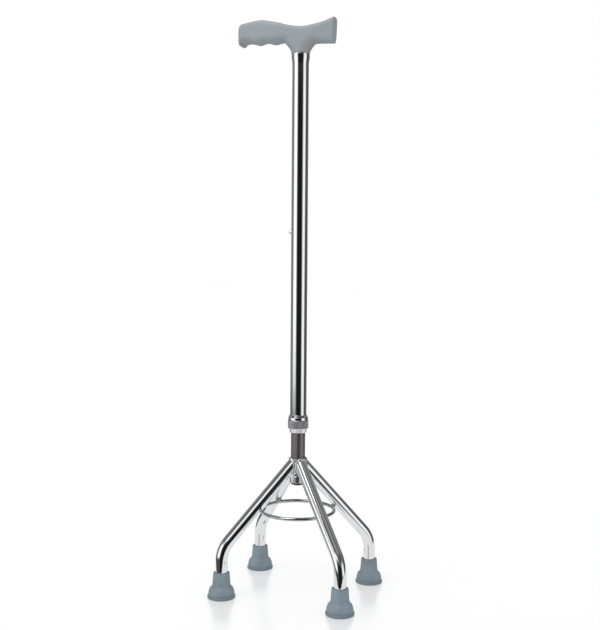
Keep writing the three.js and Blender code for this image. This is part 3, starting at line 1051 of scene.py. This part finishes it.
def make_ring(legs, material):
    sides = 28
    rings = []
    for angle in np.arange(240) * TURN / 240:
        out = np.array([math.cos(angle), math.sin(angle), 0])
        around = np.arange(sides) * TURN / sides
        rings.append(out * RING_R + [0, 0, RING_Z]
                     + RING_WIRE_R * (np.outer(np.cos(around), out)
                                      + np.outer(np.sin(around), [0, 0, 1])))
    made = make_mesh("base_brace_ring", *skin(rings, loop=True))
    dress(made, material, "base", "chrome", "brace_ring")
    make_ring_welds(legs, material)


def make_ring_welds(legs, material):
    """A short fillet of weld on each side of the ring where it touches a leg."""
    parts = []
    for number, leg in enumerate(legs):
        normal = np.cross(leg.slope, leg.side)
        normal = normal if normal[2] > 0 else -normal
        touch = leg.out * RING_R + [0, 0, RING_Z] + normal * (RING_WIRE_R + 0.15)
        work = bmesh.new()
        bmesh.ops.create_icosphere(work, subdivisions=4, radius=1)
        points = []
        for vertex in work.verts:
            lump = 1 + 0.14 * noise.noise(vertex.co * 2.2 + Vector((number * 5.1, 0, 0)))
            x, y, z = vertex.co * lump
            pinch = 1 - 0.28 * math.exp(-(y / 0.35) ** 2)
            points.append(touch + leg.side * y * 5.4
                          + leg.slope * x * 2.5 * pinch + normal * z * 1.9 * pinch)
        faces = [tuple(v.index for v in face.verts) for face in work.faces]
        work.free()
        parts.append((np.array(points), faces))
    welds = make_mesh("ring_weld_beads", *joined(parts), sharp_degrees=80)
    dress(welds, material, "base", "chrome")


# ---- Tips --------------------------------------------------------------------------

def tip_outline():
    """Base with ringed tread, flange, domed shoulder, sleeve, and the socket for the leg."""
    base_r = (TIP_HIGH.x - TIP_LOW.x) / 2
    height = TIP_HIGH.z
    washer_low = node_box("washer_front_left")[0].z
    corners = [(0, 0, 0)]
    for groove in (5.0, 9.0, 13.0):
        corners += [(groove, 0, 0.2), (groove + 0.3, 0.9, 0.2),
                    (groove + 1.7, 0.9, 0.2), (groove + 2.0, 0, 0.2)]
    corners += [
        (base_r, 0, 0.5), (base_r, 2.4, 0.7), (17.5, 3.5, 0.6), (17.1, 8.0, 7),
        (15.6, 12.3, 3), (12.7, 15.2, 2.2), (12.0, 17.6, 2.4), (10.8, height, 0.9),
        (LEG_R + 0.12, height, 0.5), (LEG_R + 0.12, washer_low - 0.1, 0.4), (0, washer_low - 0.1, 0),
    ]
    return rounded(corners, 6)


def make_tip(corner, material):
    centre = centre_of("tip_" + corner)
    points, faces = lathe(tip_outline(), 120)
    points = points + np.array([centre.x, centre.y, 0])
    made = make_mesh("foot_" + corner, points, faces, sharp_degrees=40)
    dress(made, material, "base", "tip_rubber", "tip_" + corner)


def make_washer(corner, material):
    low, high = node_box("washer_" + corner)
    radius = (high.x - low.x) / 2
    points, faces = lathe(rounded([
        (0, low.z, 0), (radius, low.z, 0.25), (radius, high.z, 0.25), (0, high.z, 0),
    ]), 64)
    centre = centre_of("washer_" + corner)
    made = make_mesh("foot_washer_" + corner, points + np.array([centre.x, centre.y, 0]), faces)
    dress(made, material, "base", "spring_steel", "washer_" + corner)


# ---- Studio ------------------------------------------------------------------------

FLOOR_RADIUS = 30
VEIL_Z = 0.5 * MM
TABLE_Z = -1 * MM
FLOOR_GLOW = 0.34
TABLE_GLOW = 0.78
TABLE_CENTRE = (0.10, -0.15)     # across the picture and towards the camera, from the shaft
TABLE_RADIUS = 0.35
ROOM_LIGHT = 0.10
# Bright and dark areas round the cane, later ones over earlier ones: azimuths from the camera's
# side and elevations, in degrees, with the softness of the edges, and the brightness.
PANELS = [
    (-181, -92, -91, 91, 8, 0.20),
    (-88, -40, -8, 24, 7, 1.1),
    (-54, -8, 24, 40, 6, 1.0),
    (0, 64, 50, 80, 6, 0.28),
    (42, 80, -14, 20, 9, 0.95),
    (92, 132, 20, 60, 7, 0.22),
    (82, 134, -12, 16, 6, 0.08),
    (-181, 40, -24, -9, 3, 0.07),
    (-181, 181, -91, -23, 4, 0.70),
    (-28, 30, -34, 16, 6, 0.01),
    (18, 56, -34, -16, 5, 0.03),
    (140, 181, -24, 60, 8, 0.35),
    (-181, -138, -24, 60, 8, 0.35),
]


def lay_disc(name, across, forward, radius, z, material):
    """A level disc, placed from the shaft across the picture and towards the camera, in metres."""
    turn = Matrix.Rotation(CAMERA_AZIMUTH, 3, "Z")
    steps = 180
    rim = [
        (across + radius * math.cos(TURN * i / steps),
         radius * math.sin(TURN * i / steps) - forward, z)
        for i in range(steps)
    ]
    mesh = bpy.data.meshes.new(name)
    mesh.from_pydata([turn @ Vector(point) for point in rim], [], [tuple(range(steps))])
    mesh.materials.append(material)
    disc = bpy.data.objects.new(name, mesh)
    bpy.context.scene.collection.objects.link(disc)
    disc.visible_shadow = False
    disc.visible_diffuse = False
    disc.visible_transmission = False
    return disc


def shader_material(name, kind, **values):
    """A material with a single shader node."""
    material = bpy.data.materials.new(name)
    material.use_nodes = True
    tree = material.node_tree
    tree.nodes.clear()
    shader = tree.nodes.new(kind)
    for key, value in values.items():
        shader.inputs[key].default_value = value
    output = tree.nodes.new("ShaderNodeOutputMaterial")
    tree.links.new(shader.outputs[0], output.inputs["Surface"])
    return material


def make_floor():
    """A white floor for the camera, and the round white table top that the chrome reflects.

    A clear veil over the floor marks the rays that bounce off it, for the world's sake.
    """
    white = shader_material(
        "floor_white", "ShaderNodeBsdfPrincipled", Roughness=0.22, IOR=3.0,
        **{"Base Color": (0.45, 0.45, 0.45, 1), "Emission Color": (1, 1, 1, 1),
           "Emission Strength": FLOOR_GLOW},
    )
    clear = shader_material("clear", "ShaderNodeBsdfTransparent")
    for name, z, material in (("floor", 0, white), ("floor_veil", VEIL_Z, clear)):
        floor = lay_disc(name, 0, 0, FLOOR_RADIUS, z, material)
        floor.visible_glossy = False
    glow = shader_material("table_glow", "ShaderNodeEmission", Strength=TABLE_GLOW)
    table = lay_disc("table_top", *TABLE_CENTRE, TABLE_RADIUS, TABLE_Z, glow)
    table.visible_camera = False


class Sky(Nodes):
    """The world's nodes."""

    def band(self, value, low, high, soft):
        """1 between low and high, falling off over their soft edges."""
        rise = self.ranged(value, low - soft, low + soft, 0.0, 1.0, smooth=True)
        fall = self.ranged(value, high - soft, high + soft, 1.0, 0.0, smooth=True)
        return self.math("MULTIPLY", rise, fall)

    def over(self, under, mask, brightness):
        """under, with the brightness where the mask is 1."""
        left = self.math("MULTIPLY", under, self.math("SUBTRACT", 1.0, mask))
        return self.math("ADD", left, self.math("MULTIPLY", mask, brightness))


def make_world():
    """A white backdrop, soft light all round, and bright and dark panels seen in reflections."""
    world = bpy.data.worlds.new("studio")
    bpy.context.scene.world = world
    world.use_nodes = True
    world.cycles.sampling_method = "NONE"
    sky = Sky(world.node_tree)
    coordinates = sky.add("ShaderNodeTexCoord")
    turned = sky.add("ShaderNodeVectorRotate", rotation_type="Z_AXIS")
    turned.inputs["Angle"].default_value = -CAMERA_AZIMUTH
    sky.link(coordinates.outputs["Generated"], turned.inputs["Vector"])
    split = sky.add("ShaderNodeSeparateXYZ")
    sky.link(turned.outputs["Vector"], split.inputs["Vector"])
    x, y, z = split.outputs["X"], split.outputs["Y"], split.outputs["Z"]
    azimuth = sky.math("DEGREES", sky.math("ARCTAN2", x, sky.math("MULTIPLY", y, -1.0)))
    elevation = sky.math("DEGREES", sky.math("ARCSINE", z))

    panels = ROOM_LIGHT
    for left, right, low, high, soft, brightness in PANELS:
        mask = sky.math("MULTIPLY", sky.band(azimuth, left, right, soft),
                        sky.band(elevation, low, high, soft))
        panels = sky.over(panels, mask, brightness)
    height = sky.ranged(z, -0.35, 0.6, 0.74, 1.08)
    sideways = sky.ranged(x, -0.2, 1.0, 1.0, 0.86)
    ambient = sky.math("MULTIPLY", height, sideways)
    path = sky.add("ShaderNodeLightPath")
    off_floor = sky.math("MINIMUM", path.outputs["Transparent Depth"], 1.0)
    ambient = sky.over(ambient, off_floor, 1.0)
    on_cane = sky.math("SUBTRACT", path.outputs["Is Glossy Ray"], off_floor)
    strength = sky.over(ambient, sky.math("MAXIMUM", on_cane, 0.0), panels)
    strength = sky.over(strength, path.outputs["Is Camera Ray"], 1.0)
    background = world.node_tree.nodes["Background"]
    background.inputs["Color"].default_value = (1, 1, 1, 1)
    sky.link(strength, background.inputs["Strength"])


def make_softbox(name, place, size, power):
    """A square area light that faces the middle of the cane."""
    light = bpy.data.lights.new(name, "AREA")
    light.size = size
    light.energy = power
    lamp = bpy.data.objects.new(name, light)
    bpy.context.scene.collection.objects.link(lamp)
    lamp.location = place
    target = Vector((0, 0, 0.4))
    lamp.rotation_mode = "QUATERNION"
    lamp.rotation_quaternion = (target - Vector(place)).to_track_quat("-Z", "Y")


def make_studio():
    make_world()
    make_floor()
    make_softbox("softbox_top", (-0.5, -0.9, 2.1), 1.1, 9.0)


# ---- Assembly ----------------------------------------------------------------------

def main():
    make_camera()
    bpy.context.scene.view_settings.view_transform = "Standard"
    chrome = chrome_material("chrome")
    steel = steel_material()
    grip_plastic = plastic_material(
        "grip_plastic", (0.285, 0.318, 0.342), (0.335, 0.368, 0.392), 0.46, 1700, 0.00004)
    nylon = plastic_material(
        "nylon", (0.76, 0.74, 0.66), (0.84, 0.82, 0.75), 0.42, 1200, 0.00002)
    black = plastic_material(
        "black_plastic", (0.012, 0.012, 0.013), (0.03, 0.03, 0.033), 0.5, 1500, 0.00004)
    rubber = rubber_material()

    make_grip(grip_plastic)
    make_grip_screw(chrome)
    make_upper_tube(chrome)
    make_lower_tube(satin_material())
    make_ferrule(chrome)
    make_nut(knurl_material(), chrome)
    make_collet(nylon)
    make_button(chrome)
    make_spring(steel)
    make_hub_sleeve(chrome_material("brazed_chrome", 0.2))
    make_rivet(chrome)
    make_plug(black)
    legs = [make_leg(corner, chrome) for corner in CORNERS]
    make_hub_welds(legs, chrome)
    # The ring's plating is darkened to 0.6 of the other chrome: painted shade for the darker reflections on
    # the wire.
    make_ring(legs, chrome_material("wire_chrome_painted_shade", 0.06, 0.6))
    for corner in CORNERS:
        make_tip(corner, rubber)
        make_washer(corner, steel)
    make_studio()


main()
